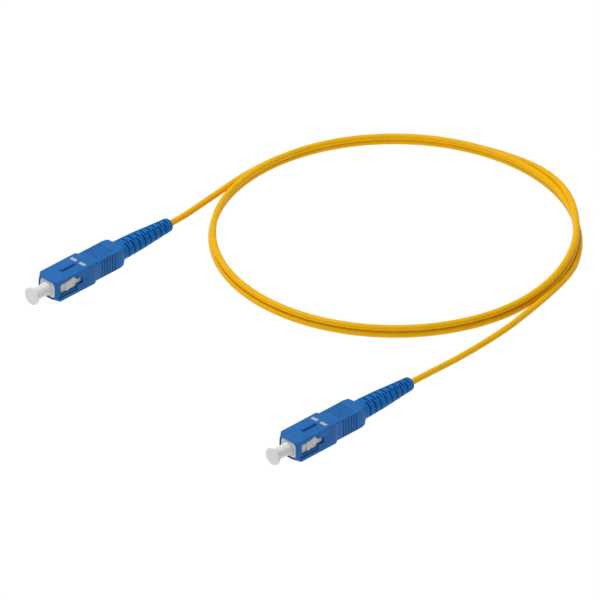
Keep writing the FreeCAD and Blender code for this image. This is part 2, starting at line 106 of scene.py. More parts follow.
class HousingSizes(PropertyGroup):
    """Sizes of the outer housing"""
    grip_start: FloatProperty(name="Grip start", default=16.3,
                              description="Where the housing steps down to the grip, in mm")
    grip_step: FloatProperty(name="Grip step", default=1.2,
                             description="Length of the slope down to the grip, in mm")
    grip_inset: FloatProperty(name="Grip inset", default=0.42,
                              description="How much the grip is taken in on each side, in mm")
    nose_length: FloatProperty(name="Nose chamfer", default=1.5,
                               description="Length of the chamfer round the nose, in mm")
    nose_side: FloatProperty(name="Nose side", default=0.9,
                             description="Depth of the nose's chamfer at the sides, in mm")
    nose_top: FloatProperty(name="Nose top", default=0.6,
                            description="Depth of the nose's chamfer above and below, in mm")
    edge_round: FloatProperty(name="Edge round", default=0.45,
                              description="Radius of the long edges, in mm")
    wall_fit: FloatProperty(name="Running fit", default=0.1,
                            description="Play between housing and plug frame on each side, in mm")
    groove_start: FloatProperty(name="First groove", default=19.7,
                                description="Place of the first grip groove, in mm")
    groove_pitch: FloatProperty(name="Groove pitch", default=1.13,
                                description="Distance from one groove to the next, in mm")
    groove_count: IntProperty(name="Grooves", default=6, description="Number of grip grooves")
    groove_width: FloatProperty(name="Groove width", default=0.42,
                                description="Width of a grip groove, in mm")
    groove_side_depth: FloatProperty(name="Side groove depth", default=0.36,
                                     description="Depth of the grooves down the sides, in mm")
    groove_top_depth: FloatProperty(name="Top groove depth", default=0.24,
                                    description="Depth of the grooves above and below, in mm")
    groove_half: FloatProperty(name="Groove half length", default=3.0,
                               description="Half the length of the grooves on top, in mm")
    key_start: FloatProperty(name="Key start", default=5.8,
                             description="Place of the key's front end, in mm")
    key_length: FloatProperty(name="Key length", default=5.8, description="Length of the key, in mm")
    key_width: FloatProperty(name="Key width", default=1.4, description="Width of the key, in mm")
    key_height: FloatProperty(name="Key height", default=0.7, description="Height of the key, in mm")
    channel_length: FloatProperty(name="Channel length", default=8.8,
                                  description="Length of the channel along each side, in mm")
    channel_depth: FloatProperty(name="Channel depth", default=0.45,
                                 description="Depth of the channel along each side, in mm")
    channel_bottom: FloatProperty(name="Channel bottom", default=-2.35,
                                  description="Lower edge of the channel, from the axis, in mm")
    channel_top: FloatProperty(name="Channel top", default=2.95,
                               description="Upper edge of the channel, from the axis, in mm")


class BootSizes(PropertyGroup):
    """Sizes of the slots in the boot"""
    slot_count: IntProperty(name="Slots", default=8, description="Pairs of slots on each side")
    slot_start: FloatProperty(name="First slot", default=1.9,
                              description="Place of the first slot behind the housing, in mm")
    slot_pitch: FloatProperty(name="Slot pitch", default=2.42,
                              description="Distance from one side slot to the next, in mm")
    slot_width: FloatProperty(name="Slot width", default=0.68, description="Width of a slot, in mm")
    slot_core: FloatProperty(name="Slot core", default=1.45,
                             description="How far from the axis the slots stop, in mm")


class CordSizes(PropertyGroup):
    """Place and size of the coil"""
    coil_x: FloatProperty(name="Coil X", default=0.0825, unit="LENGTH",
                          description="Middle of the coil along X")
    coil_y: FloatProperty(name="Coil Y", default=0.0071, unit="LENGTH",
                          description="Middle of the coil along Y")
    coil_radius: FloatProperty(name="Coil radius", default=0.0559, unit="LENGTH",
                               description="Middle radius of the coil")
    points_per_turn: IntProperty(name="Points a turn", default=24,
                                 description="Control points in one turn of the coil")
    real_length: FloatProperty(name="Cable length", default=0.985, unit="LENGTH",
                               description="Length of the cable from boot to boot")


class Finishes(PropertyGroup):
    """Colours of the moulded parts and the jacket"""
    housing_blue: FloatVectorProperty(name="Housing blue", subtype="COLOR", size=3,
                                      default=(0.020, 0.147, 0.44), min=0, max=1,
                                      description="Colour of the moulded housing")
    boot_blue: FloatVectorProperty(name="Boot blue", subtype="COLOR", size=3,
                                   default=(0.010, 0.152, 0.48), min=0, max=1,
                                   description="Colour of the soft boot")
    frame_white: FloatVectorProperty(name="Frame white", subtype="COLOR", size=3,
                                     default=(0.67, 0.68, 0.66), min=0, max=1,
                                     description="Colour of the plug frame")
    cap_milk: FloatVectorProperty(name="Cap milk", subtype="COLOR", size=3,
                                  default=(0.77, 0.77, 0.76), min=0, max=1,
                                  description="Colour of the milky dust cap")
    mark_grey: FloatVectorProperty(name="Mark grey", subtype="COLOR", size=3,
                                   default=(0.42, 0.50, 0.60), min=0, max=1,
                                   description="Colour of the two dashes")
    jacket_yellow: FloatVectorProperty(name="Jacket yellow", subtype="COLOR", size=3,
                                       default=(0.88, 0.475, 0.004), min=0, max=1,
                                       description="Colour of the cable's jacket")


class StageSizes(PropertyGroup):
    """Where the camera stands and what it takes in"""
    azimuth: FloatProperty(name="Azimuth", default=math.radians(-45), subtype="ANGLE",
                           description="Camera's angle round the part")
    elevation: FloatProperty(name="Elevation", default=math.radians(32), subtype="ANGLE",
                             description="Camera's angle above the table")
    aim: FloatVectorProperty(name="Aim", size=3, default=(0.0469, 0.0125, -0.0083), subtype="TRANSLATION",
                             description="The point the camera looks at")
    frame_width: FloatProperty(name="Frame width", default=0.1835, unit="LENGTH",
                               description="Width that the picture covers at the aim")
    lens: FloatProperty(name="Lens", default=1600.0, unit="CAMERA",
                        description="Camera's focal length, in mm")


# ---------------------------------------------------------------- shaping


def loft(bm, rings):
    """A closed solid through rings of points that all have the same count."""
    made = [[bm.verts.new(p) for p in ring] for ring in rings]
    count = len(made[0])
    for near, far in zip(made, made[1:]):
        for i in range(count):
            j = (i + 1) % count
            bm.faces.new((near[i], near[j], far[j], far[i]))
    bm.faces.new(list(reversed(made[0])))
    bm.faces.new(made[-1])


def rounded_rectangle(x, half_width, half_height, radius, steps=6):
    """Points round a rounded rectangle that stands across the axis."""
    radius = min(radius, half_width, half_height)
    points = []
    for quarter, (side_y, side_z) in enumerate(((1, 1), (-1, 1), (-1, -1), (1, -1))):
        for step in range(steps + 1):
            angle = math.radians(90 * quarter + 90 * step / steps)
            points.append((x, side_y * (half_width - radius) + radius * math.cos(angle),
                           side_z * (half_height - radius) + radius * math.sin(angle)))
    return points


def round_corners(points, radius, steps=4):
    """A line of (x, distance) points with each inner corner turned into a small arc."""
    line = [Vector(p) for p in points]
    result = [line[0]]
    for before, corner, after in zip(line, line[1:], line[2:]):
        back, ahead = (before - corner), (after - corner)
        half_turn = (math.pi - back.angle(ahead)) / 2
        reach = min(radius * math.tan(half_turn), 0.45 * back.length, 0.45 * ahead.length)
        start, end = corner + back.normalized() * reach, corner + ahead.normalized() * reach
        for step in range(steps + 1):
            t = step / steps
            first, second = start.lerp(corner, t), corner.lerp(end, t)
            result.append(first.lerp(second, t))
    result.append(line[-1])
    return result


def prism(bm, outline, low, high, plane):
    """A solid from an outline of pairs, drawn in plane "xz" and run along y, or "xy" along z."""
    def at(a, b, c):
        return (a, c, b) if plane == "xz" else (a, b, c)
    loft(bm, [[at(a, b, c) for a, b in outline] for c in (low, high)])


def box_outline(x0, x1, y0, y1):
    """The four corners of an upright rectangle."""
    return [(x0, y0), (x1, y0), (x1, y1), (x0, y1)]


def groove_outline(x, floor, top, width):
    """Across a groove: straight walls and a round floor, open at the top."""
    half = width / 2
    deep = 1 if top > floor else -1
    points = [(x - half, top)]
    for step in range(7):
        angle = math.pi * step / 6
        points.append((x - half * math.cos(angle), floor + deep * half * (1 - math.sin(angle))))
    points.append((x + half, top))
    return points


def lathe(bm, profile, steps=64):
    """A solid turned round the axis from (x, radius) points that start and end on the axis."""
    rings = []
    for x, radius in profile:
        if radius < 1e-6:
            rings.append([bm.verts.new((x, 0, 0))])
        else:
            rings.append([bm.verts.new((x, radius * math.cos(math.tau * i / steps),
                                        radius * math.sin(math.tau * i / steps)))
                          for i in range(steps)])
    for near, far in zip(rings, rings[1:]):
        for i in range(steps):
            j = (i + 1) % steps
            if len(near) == 1:
                bm.faces.new((near[0], far[j], far[i]))
            elif len(far) == 1:
                bm.faces.new((near[i], near[j], far[0]))
            else:
                bm.faces.new((near[i], near[j], far[j], far[i]))


def mesh_from(bm, name):
    """Ends the drawing of a shape and gives its mesh, with all faces turned outward."""
    bmesh.ops.remove_doubles(bm, verts=bm.verts, dist=1e-5)
    bmesh.ops.recalc_face_normals(bm, faces=bm.faces)
    mesh = bpy.data.meshes.new(name)
    bm.to_mesh(mesh)
    bm.free()
    return mesh


def scratch_object(bm, name):
    """The drawn shape as an object in the scene."""
    piece = bpy.data.objects.new(name, mesh_from(bm, name))
    bpy.context.scene.collection.objects.link(piece)
    return piece


def joined(piece, other, operation):
    """Cuts other from piece or adds it to piece; other is used up."""
    change = piece.modifiers.new("join", "BOOLEAN")
    change.solver = "EXACT"
    change.operation = operation
    change.object = other
    bake_modifiers(piece)
    bpy.data.objects.remove(other, do_unlink=True)


def bake_modifiers(piece):
    """Makes what the piece's modifiers do part of its mesh."""
    graph = bpy.context.evaluated_depsgraph_get()
    mesh = bpy.data.meshes.new_from_object(piece.evaluated_get(graph), depsgraph=graph)
    piece.modifiers.clear()
    piece.data = mesh


def soften_edges(piece, width, angle, segments=2):
    """Small rounds along every edge sharper than the angle, in degrees."""
    bm = bmesh.new()
    bm.from_mesh(piece.data)
    bmesh.ops.remove_doubles(bm, verts=bm.verts, dist=2e-4)
    bmesh.ops.dissolve_limit(bm, angle_limit=math.radians(0.5), verts=bm.verts, edges=bm.edges)
    bm.to_mesh(piece.data)
    bm.free()
    bevel = piece.modifiers.new("round", "BEVEL")
    bevel.width = width
    bevel.segments = segments
    bevel.limit_method = "ANGLE"
    bevel.angle_limit = math.radians(angle)
    bevel.use_clamp_overlap = True
    bevel.loop_slide = True
    bevel.miter_outer = "MITER_ARC"
    bake_modifiers(piece)


def put_in_place(piece, end, name, sharp_angle=35.0):
    """Turns a plug's piece from its own millimetres into its place in the frame."""
    origin = plug_origin(end)
    mesh = piece.data
    for vert in mesh.vertices:
        vert.co = origin + vert.co * MM
    mesh.shade_smooth()
    mesh.set_sharp_from_angle(angle=math.radians(sharp_angle))
    piece.name = name
    mesh.name = name


def copy_of(piece):
    """A second object with its own copy of the mesh."""
    twin = piece.copy()
    twin.data = piece.data.copy()
    bpy.context.scene.collection.objects.link(twin)
    return twin


def finish_pair(piece, label, node, body, material, sharp_angle=35.0):
    """Makes end b's copy of a piece, and puts both in place on their bodies."""
    for end, made in zip(ENDS, (piece, copy_of(piece))):
        put_in_place(made, end, f"{label}_{end}", sharp_angle)
        made.data.materials.clear()
        made.data.materials.append(material)
        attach(made, body.format(end=end))
        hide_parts(f"{node}_{end}")


# ---------------------------------------------------------------- materials


def new_material(name):
    """A material with its nodes, its links and its main shader."""
    material = bpy.data.materials.new(name)
    material.use_nodes = True
    nodes = material.node_tree.nodes
    return material, nodes, material.node_tree.links, nodes["Principled BSDF"]


def noise(nodes, links, coords, scale, detail, roughness=0.5):
    """A cloudy texture of that many lumps a metre."""
    texture = nodes.new("ShaderNodeTexNoise")
    texture.inputs["Scale"].default_value = scale
    texture.inputs["Detail"].default_value = detail
    texture.inputs["Roughness"].default_value = roughness
    links.new(coords, texture.inputs["Vector"])
    return texture


def span(nodes, links, value, low, high, from_low=0.3, from_high=0.7):
    """Maps a texture's value onto low to high."""
    ramp = nodes.new("ShaderNodeMapRange")
    ramp.inputs["From Min"].default_value = from_low
    ramp.inputs["From Max"].default_value = from_high
    ramp.inputs["To Min"].default_value = low
    ramp.inputs["To Max"].default_value = high
    links.new(value, ramp.inputs["Value"])
    return ramp.outputs["Result"]


def tinted(nodes, links, factor, colour, dark, light):
    """A colour that drifts between a darker and a lighter shade of itself."""
    mix = nodes.new("ShaderNodeMix")
    mix.data_type = "RGBA"
    mix.inputs["A"].default_value = (*[c * dark for c in colour], 1)
    mix.inputs["B"].default_value = (*[min(1, c * light) for c in colour], 1)
    links.new(factor, mix.inputs["Factor"])
    return mix.outputs["Result"]


def moulded_plastic(name, colour, rough=0.42, grain=9000.0, grain_height=0.000004, drift=0.05,
                    specular=0.1):
    """Moulded plastic: a fine grain from the mould, a slow drift of colour and a soft gloss."""
    material, nodes, links, shader = new_material(name)
    coords = nodes.new("ShaderNodeTexCoord").outputs["Object"]
    slow = noise(nodes, links, coords, 260.0, 3.0)
    fine = noise(nodes, links, coords, grain, 2.0)
    links.new(tinted(nodes, links, span(nodes, links, slow.outputs["Fac"], 0, 1), colour,
                     1 - drift, 1 + drift), shader.inputs["Base Color"])
    links.new(span(nodes, links, slow.outputs["Fac"], rough - 0.04, rough + 0.05),
              shader.inputs["Roughness"])
    bump = nodes.new("ShaderNodeBump")
    bump.inputs["Strength"].default_value = 0.5
    bump.inputs["Distance"].default_value = grain_height
    links.new(fine.outputs["Fac"], bump.inputs["Height"])
    links.new(bump.outputs["Normal"], shader.inputs["Normal"])
    shader.inputs["Specular IOR Level"].default_value = specular
    return material


def soft_plastic(name, colour):
    """The boot's flexible plastic: duller than the housing, with a touch of light inside."""
    material = moulded_plastic(name, colour, rough=0.5, grain=7000.0, grain_height=0.000005,
                               specular=0.08)
    shader = material.node_tree.nodes["Principled BSDF"]
    shader.inputs["Subsurface Weight"].default_value = 0.06
    shader.inputs["Subsurface Radius"].default_value = (0.2, 0.4, 1.0)
    shader.inputs["Subsurface Scale"].default_value = 0.0004
    return material


def milky_plastic(name, colour):
    """The cap's milky polyethylene: light goes some way into it."""
    material = moulded_plastic(name, colour, rough=0.36, grain=5000.0, grain_height=0.000004,
                               drift=0.03, specular=0.06)
    shader = material.node_tree.nodes["Principled BSDF"]
    shader.inputs["Subsurface Weight"].default_value = 0.25
    shader.inputs["Subsurface Radius"].default_value = (1.0, 0.95, 0.9)
    shader.inputs["Subsurface Scale"].default_value = 0.0012
    return material


def cable_jacket(name, colour):
    """Extruded jacket: smooth and satin, with faint mottling and a very fine grain."""
    return moulded_plastic(name, colour, rough=0.4, grain=2600.0, grain_height=0.0000012,
                           drift=0.035, specular=0.08)


def turned_metal(name, colour, rough=0.28):
    """Turned and plated metal, with fine rings round the axis."""
    material, nodes, links, shader = new_material(name)
    coords = nodes.new("ShaderNodeTexCoord").outputs["Object"]
    rings = nodes.new("ShaderNodeTexWave")
    rings.bands_direction = "X"
    rings.inputs["Scale"].default_value = 1800.0
    rings.inputs["Distortion"].default_value = 1.5
    links.new(coords, rings.inputs["Vector"])
    cloud = noise(nodes, links, coords, 900.0, 3.0)
    links.new(tinted(nodes, links, cloud.outputs["Fac"], colour, 0.88, 1.08),
              shader.inputs["Base Color"])
    links.new(span(nodes, links, cloud.outputs["Fac"], rough - 0.06, rough + 0.08),
              shader.inputs["Roughness"])
    bump = nodes.new("ShaderNodeBump")
    bump.inputs["Strength"].default_value = 0.3
    bump.inputs["Distance"].default_value = 0.000004
    links.new(rings.outputs["Fac"], bump.inputs["Height"])
    links.new(bump.outputs["Normal"], shader.inputs["Normal"])
    shader.inputs["Metallic"].default_value = 1.0
    return material


def polished_ceramic(name, colour):
    """Ground and polished ceramic or glass: hard gloss and a little light inside."""
    material = moulded_plastic(name, colour, rough=0.12, grain=12000.0, grain_height=0.000001,
                               drift=0.02, specular=0.8)
    shader = material.node_tree.nodes["Principled BSDF"]
    shader.inputs["Subsurface Weight"].default_value = 0.15
    shader.inputs["Subsurface Scale"].default_value = 0.0006
    return material


def yarn(name, colour):
    """Aramid yarn laid along the axis: fine streaks with a sheen."""
    material, nodes, links, shader = new_material(name)
    coords = nodes.new("ShaderNodeTexCoord").outputs["Object"]
    stretch = nodes.new("ShaderNodeMapping")
    stretch.inputs["Scale"].default_value = (0.05, 1.0, 1.0)
    links.new(coords, stretch.inputs["Vector"])
    strands = noise(nodes, links, stretch.outputs["Vector"], 9000.0, 3.0)
    links.new(tinted(nodes, links, strands.outputs["Fac"], colour, 0.6, 1.25),
              shader.inputs["Base Color"])
    bump = nodes.new("ShaderNodeBump")
    bump.inputs["Distance"].default_value = 0.00002
    links.new(strands.outputs["Fac"], bump.inputs["Height"])
    links.new(bump.outputs["Normal"], shader.inputs["Normal"])
    shader.inputs["Roughness"].default_value = 0.5
    shader.inputs["Sheen Weight"].default_value = 0.3
    return material


def glowing_white(name):
    """A light table: bright enough that nothing on it casts a shadow."""
    material, *_, shader = new_material(name)
    shader.inputs["Base Color"].default_value = (0.02, 0.02, 0.02, 1)
    shader.inputs["Specular IOR Level"].default_value = 0.0
    shader.inputs["Emission Color"].default_value = (1, 1, 1, 1)
    shader.inputs["Emission Strength"].default_value = 1.0
    return material


# ---------------------------------------------------------------- plug pieces


def depth_at(line, x):
    """The distance that a line of (x, distance) points has at x."""
    for before, after in zip(line, line[1:]):
        if before.x <= x <= after.x and after.x > before.x:
            return before.y + (after.y - before.y) * (x - before.x) / (after.x - before.x)
    return line[-1].y


def housing_rings(sizes):
    """Cross-sections of the housing's outside, front to back, with its corners rounded."""
    end = HOUSING_LENGTH
    inset = sizes.grip_inset
    grip_end = sizes.grip_start + sizes.grip_step
    tail_slope, tail_turn, tail_chamfer = 2.4, 0.8, 0.6
    sides = round_corners([
        (0, sizes.nose_side), (sizes.nose_length, 0), (sizes.grip_start, 0), (grip_end, inset),
        (end - tail_slope, inset), (end - tail_turn, inset + 0.22), (end, inset + 0.66),
    ], radius=0.8)
    tops = round_corners([
        (0, sizes.nose_top), (sizes.nose_length, 0), (sizes.grip_start, 0), (grip_end, inset),
        (end - tail_chamfer, inset), (end, inset + 0.45),
    ], radius=0.6)
    rounder_as_it_narrows = 1.4
    rings = []
    for x in sorted({round(p.x, 4) for p in sides + tops}):
        side, top = depth_at(sides, x), depth_at(tops, x)
        narrowed = max(0, side - inset) if x > grip_end else side
        radius = sizes.edge_round + rounder_as_it_narrows * narrowed
        rings.append(rounded_rectangle(x, HOUSING_WIDTH / 2 - side, HOUSING_HEIGHT / 2 - top, radius))
    return rings


def window_outline():
    """The side window: low at the front, higher behind, with a narrow notch at its back."""
    front, rear, notch = 2.0, 8.8, 11.1
    bottom, top_front, top_rear = -1.55, 1.9, 2.55
    notch_bottom, notch_top = -0.75, 1.4
    rise = [(5.1, top_rear), (4.7, top_rear - 0.08), (4.3, top_front + 0.1), (3.9, top_front)]
    return [
        (front, bottom), (rear, bottom), (rear, notch_bottom), (notch, notch_bottom),
        (notch, notch_top), (rear, notch_top), (rear - 0.25, notch_top + 0.35),
        (rear - 0.6, top_rear),
    ] + rise + [(front, top_front)]


def key_rings(sizes):
    """Cross-sections of the key on top of the housing, with its upper edges and its ends chamfered."""
    end = sizes.key_start + sizes.key_length
    half = sizes.key_width / 2
    low = HOUSING_HEIGHT / 2 - 1.0
    chamfer, edge = 0.12, 0.15
    rings = []
    for x, drop in ((sizes.key_start, chamfer), (sizes.key_start + chamfer, 0),
                    (end - chamfer, 0), (end, chamfer)):
        high = HOUSING_HEIGHT / 2 + sizes.key_height - drop
        side = half - drop
        rings.append([(x, -side, low), (x, side, low), (x, side, high - edge),
                      (x, side - edge, high), (x, -side + edge, high), (x, -side, high - edge)])
    return rings


def cut_grooves(body, sizes):
    """Cuts the grip grooves across the top, the underside and both sides of the housing."""
    grip_height = HOUSING_HEIGHT / 2 - sizes.grip_inset
    grip_width = HOUSING_WIDTH / 2 - sizes.grip_inset
    outside, above_floor, below_top = 0.5, 0.35, 0.2
    bm = bmesh.new()
    for i in range(sizes.groove_count):
        x = sizes.groove_start + i * sizes.groove_pitch
        for side in SIDES:
            across = groove_outline(x, side * (grip_height - sizes.groove_top_depth),
                                    side * (grip_height + outside), sizes.groove_width)
            prism(bm, across, -sizes.groove_half, sizes.groove_half, "xz")
            down = groove_outline(x, side * (grip_width - sizes.groove_side_depth),
                                  side * (grip_width + outside), sizes.groove_width)
            prism(bm, down, -grip_height + above_floor, grip_height - below_top, "xy")
    joined(body, scratch_object(bm, "grooves"), "DIFFERENCE")


def build_housing(sizes):
    """The blue housing: a square sleeve with a key, side channels, windows and grip grooves."""
    half_width = HOUSING_WIDTH / 2
    past = 1.0
    bm = bmesh.new()
    loft(bm, housing_rings(sizes))
    body = scratch_object(bm, "housing")

    bm = bmesh.new()
    loft(bm, key_rings(sizes))
    joined(body, scratch_object(bm, "key"), "UNION")

    bm = bmesh.new()
    loft(bm, [rounded_rectangle(x, FRAME_HALF_WIDTH + sizes.wall_fit,
                                FRAME_HALF_HEIGHT + sizes.wall_fit, FRAME_CORNER + 0.05)
              for x in (-past, HOUSING_LENGTH + past)])
    joined(body, scratch_object(bm, "bore"), "DIFFERENCE")

    bm = bmesh.new()
    floor = half_width - sizes.channel_depth
    for side in SIDES:
        low, high = sorted((side * floor, side * (half_width + past)))
        prism(bm, box_outline(-past, sizes.channel_length, sizes.channel_bottom, sizes.channel_top),
              low, high, "xz")
    joined(body, scratch_object(bm, "channels"), "DIFFERENCE")

    bm = bmesh.new()
    prism(bm, window_outline(), -half_width - past, half_width + past, "xz")
    joined(body, scratch_object(bm, "windows"), "DIFFERENCE")

    cut_grooves(body, sizes)
    soften_edges(body, width=0.06, angle=38)
    return body


def add_ribs(body):
    """Adds the latch rib on each side of the frame, with its crest's edges taken off."""
    start, end = 4.6, 5.9
    bottom, top = -1.4, 1.75
    slope, drop = 0.25, 0.1
    bm = bmesh.new()
    for side in SIDES:
        base = side * (FRAME_HALF_WIDTH - 0.3)
        crest = side * (FRAME_HALF_WIDTH + RIB_HEIGHT)
        shoulder = crest - side * drop
        outline = [(start, base), (end, base), (end, shoulder), (end - slope, crest),
                   (start + slope, crest), (start, shoulder)]
        prism(bm, outline, bottom, top, "xy")
    joined(body, scratch_object(bm, "ribs"), "UNION")


def add_pads(body):
    """Adds the raised field behind each rib, which fills the window and its notch."""
    front, rear, notch = 5.6, 8.65, 11.0
    bottom, top = -1.4, 1.75
    outline = [(front, bottom), (rear, bottom), (rear, -0.6), (notch, -0.6), (notch, 1.25),
               (8.75, 1.25), (8.6, 1.6), (8.25, 2.1), (7.3, 2.1), (6.9, top), (front, top)]
    under_rib = 0.14
    bm = bmesh.new()
    for side in SIDES:
        near, far = sorted((side * (FRAME_HALF_WIDTH - 0.5),
                            side * (FRAME_HALF_WIDTH + RIB_HEIGHT - under_rib)))
        prism(bm, outline, near, far, "xz")
    joined(body, scratch_object(bm, "pads"), "UNION")


def build_frame():
    """The white plug frame: a nose with its round recess, a bore, and ribs and fields at the sides."""
    front, rear = FRAME_FRONT, FRAME_REAR
    nose_chamfer, tail_chamfer = 0.35, 0.2
    bm = bmesh.new()
    line = round_corners([(front, nose_chamfer), (front + nose_chamfer, 0), (rear - tail_chamfer, 0),
                          (rear, tail_chamfer)], radius=0.3)
    loft(bm, [rounded_rectangle(x, FRAME_HALF_WIDTH - d, FRAME_HALF_HEIGHT - d, FRAME_CORNER)
              for x, d in line])
    body = scratch_object(bm, "plug frame")
    add_ribs(body)
    add_pads(body)

    recess, passage, chamber = 2.35, 1.35, 2.1
    recess_depth, wall = 4.4, 3.5
    lead_in, past = 0.15, 1.0
    wall_front = front + recess_depth
    wall_rear = wall_front + wall
    bm = bmesh.new()
    lathe(bm, [(front - past, 0), (front - past, recess + lead_in), (front, recess + lead_in),
               (front + lead_in, recess), (wall_front, recess), (wall_front, passage),
               (wall_rear, passage), (wall_rear, chamber), (rear + past, chamber), (rear + past, 0)])
    joined(body, scratch_object(bm, "frame bore"), "DIFFERENCE")
    soften_edges(body, width=0.05, angle=38)
    return body


def boot_rings():
    """Cross-sections of the boot: a rounded oblong by the housing, nearly round at the tip."""
    length = BOOT_TIP - HOUSING_LENGTH
    # Place, half width, half height and corner radius.
    sections = [
        (BOOT_START, 3.28, 2.62, 1.60),
        (HOUSING_LENGTH - 0.2, 3.28, 2.62, 1.80),
        (HOUSING_LENGTH + 0.5, 3.30, 2.65, 2.10),
        (HOUSING_LENGTH + 0.20 * length, 3.26, 2.65, 2.35),
        (HOUSING_LENGTH + 0.39 * length, 3.13, 2.61, 2.42),
        (HOUSING_LENGTH + 0.55 * length, 2.88, 2.51, 2.40),
        (HOUSING_LENGTH + 0.70 * length, 2.62, 2.40, 2.34),
        (HOUSING_LENGTH + 0.85 * length, 2.38, 2.28, 2.25),
        (BOOT_TIP - 0.80, 2.22, 2.19, 2.18),
        (BOOT_TIP - 0.35, 2.12, 2.09, 2.08),
        (BOOT_TIP - 0.10, 1.95, 1.92, 1.91),
        (BOOT_TIP, 1.75, 1.73, 1.72),
    ]
    return [rounded_rectangle(x, w, h, r, steps=8) for x, w, h, r in sections]


def slot_cutter(bm, x, width, core, reach, half_angle, turn):
    """An arc-shaped blade round the axis that cuts one slot."""
    steps = 20
    outline = []
    for step in range(steps + 1):
        angle = math.radians(turn - half_angle + 2 * half_angle * step / steps)
        outline.append((reach * math.cos(angle), reach * math.sin(angle)))
    for step in range(steps + 1):
        angle = math.radians(turn + half_angle - 2 * half_angle * step / steps)
        outline.append((core * math.cos(angle), core * math.sin(angle)))
    loft(bm, [[(place, y, z) for y, z in outline] for place in (x, x + width)])


def build_boot(sizes):
    """The slotted boot: pairs of slots at the sides, and between them pairs above and below."""
    bm = bmesh.new()
    loft(bm, boot_rings())
    body = scratch_object(bm, "boot")

    outside, side_angle, top_angle = 4.5, 68, 42
    bm = bmesh.new()
    for i in range(sizes.slot_count):
        x = HOUSING_LENGTH + sizes.slot_start + i * sizes.slot_pitch
        between = x + sizes.slot_pitch / 2
        for place, half_angle, turns in ((x, side_angle, (0, 180)), (between, top_angle, (90, 270))):
            for turn in turns:
                slot_cutter(bm, place, sizes.slot_width, sizes.slot_core, outside, half_angle, turn)
    joined(body, scratch_object(bm, "slots"), "DIFFERENCE")

    crimp_room, taper_end = 2.2, 1.4
    bore = CABLE_RADIUS + 0.05
    mouth = bore + 0.2
    past = 1.0
    bm = bmesh.new()
    lathe(bm, [(BOOT_START - past, 0), (BOOT_START - past, crimp_room),
               (HOUSING_LENGTH - 1, crimp_room), (HOUSING_LENGTH + 3, taper_end),
               (HOUSING_LENGTH + 3.4, bore), (BOOT_TIP - 0.15, bore), (BOOT_TIP + 0.1, mouth),
               (BOOT_TIP + past, mouth), (BOOT_TIP + past, 0)], steps=40)
    joined(body, scratch_object(bm, "boot bore"), "DIFFERENCE")
    soften_edges(body, width=0.05, angle=50)
    return body


def build_cap():
    """The dust cap: a broad flat head, a flared neck and a barrel that swells towards the plug."""
    bore, blind = 1.28, -2.4
    head, neck, barrel, skirt = 2.9, 1.86, 1.98, 2.26
    outer = [
        (CAP_TIP, 0), (CAP_TIP, head - 0.3), (CAP_TIP + 0.03, head - 0.14),
        (CAP_TIP + 0.12, head - 0.04), (CAP_TIP + 0.28, head), (CAP_TIP + 0.5, head - 0.03),
        (CAP_TIP + 0.75, head - 0.2), (CAP_TIP + 1.0, neck + 0.56), (CAP_TIP + 1.3, neck + 0.3),
        (CAP_TIP + 1.7, neck + 0.12), (CAP_TIP + 2.2, neck + 0.02), (CAP_TIP + 2.8, neck),
        (CAP_TIP + 4.0, neck + 0.05), (CAP_TIP + 5.2, barrel), (-0.5, barrel + 0.04),
        (-0.15, barrel + 0.12), (0.05, skirt - 0.05), (0.2, skirt),
        (CAP_MOUTH - 0.1, skirt), (CAP_MOUTH, skirt - 0.1),
    ]
    inner = [(CAP_MOUTH, bore + 0.1), (CAP_MOUTH - 0.12, bore), (blind, bore), (blind - 0.3, 0)]
    bm = bmesh.new()
    lathe(bm, outer + inner, steps=72)
    return scratch_object(bm, "dust cap")


def build_spring(end, material):
    """Round wire in open turns, with a closed turn at each end.
    """
    low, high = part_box(f"ferrule_spring_{end}")
    axis = (low + high) / 2
    wire = 0.2 * MM
    coil = (high.z - low.z) / 2 - wire
    start, finish = low.x + wire, high.x - wire
    closed = 2.1 * wire
    turns, around, steps = 7, 32, 10
    rings = []
    for i in range(turns * around + 1):
        turned = i / around
        if turned < 1:
            along = start + closed * turned
        elif turned > turns - 1:
            along = finish - closed * (turns - turned)
        else:
            along = start + closed + (finish - start - 2 * closed) * (turned - 1) / (turns - 2)
        angle = math.tau * turned
        ring = []
        for step in range(steps):
            lean = math.tau * step / steps
            reach = coil + wire * math.cos(lean)
            ring.append((along + wire * math.sin(lean), axis.y + reach * math.cos(angle),
                         axis.z + reach * math.sin(angle)))
        rings.append(ring)
    name = f"spring_{end}"
    bm = bmesh.new()
    loft(bm, rings)
    bmesh.ops.recalc_face_normals(bm, faces=bm.faces)
    mesh = bpy.data.meshes.new(name)
    bm.to_mesh(mesh)
    bm.free()
    mesh.shade_smooth()
    mesh.materials.append(material)
    spring = bpy.data.objects.new(name, mesh)
    bpy.context.scene.collection.objects.link(spring)
    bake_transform(spring)
    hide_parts(f"ferrule_spring_{end}")


# ---------------------------------------------------------------- cord

# The coil's own measures, in mm: how high one strand lies over the next, how far the strands of the
# stack lean in and out, and how far out the last turn moves to leave.
STRAND_RISE = 1.95
STRAND_LEAN = 0.25
LEAVING_REACH = 2.45

# Where the first turn starts, as seen from the strand it climbs over: below its level and outside it.
BESIDE_ANGLE = -37.4
BESIDE_REACH = 3.21
ABOVE_REACH = 2.02

# Degrees of coil turned, from and to, where the strands change places.
CLIMB = (80, 140)
TUCK_IN = (80, 110)
SETTLE = (140, 197)
LEAVE = (128, 186)

# Where round its middle the coil starts, and how many degrees of it there are.
FIRST_ANGLE = 97.0
COIL_DEGREES = 897.0


def ease(value, start, end):
    """0 before start, 1 after end, smooth between."""
    t = min(1.0, max(0.0, (value - start) / (end - start)))
    return t * t * (3 - 2 * t)


